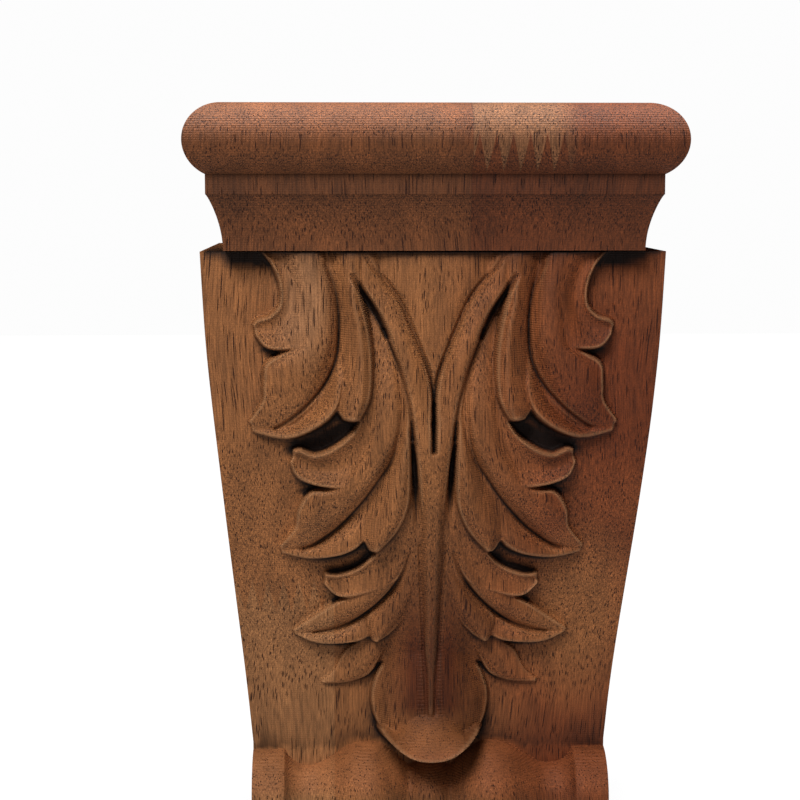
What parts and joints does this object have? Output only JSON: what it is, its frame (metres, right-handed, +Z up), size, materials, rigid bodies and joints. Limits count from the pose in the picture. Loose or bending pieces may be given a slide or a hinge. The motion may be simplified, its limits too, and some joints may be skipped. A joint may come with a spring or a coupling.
{
  "type": "carved wooden corbel",
  "caption": "Wooden corbel onlay with a mitred bullnose and cove cap, a carved acanthus leaf on a tapering body, and a fluted roll foot.",
  "frame": {"origin": "middle of the flat back, half way up and on the centre line", "axes": "+X to the right across the front, +Y out of the back into the wall, +Z up to the top of the cap"},
  "size_m": [0.12, 0.08, 0.192],
  "materials": {
    "wood": "bare, machine carved, sanded lightly"
  },
  "bodies": {
    "root": {"carved_corbel": "wood"}
  },
  "joints": []
}
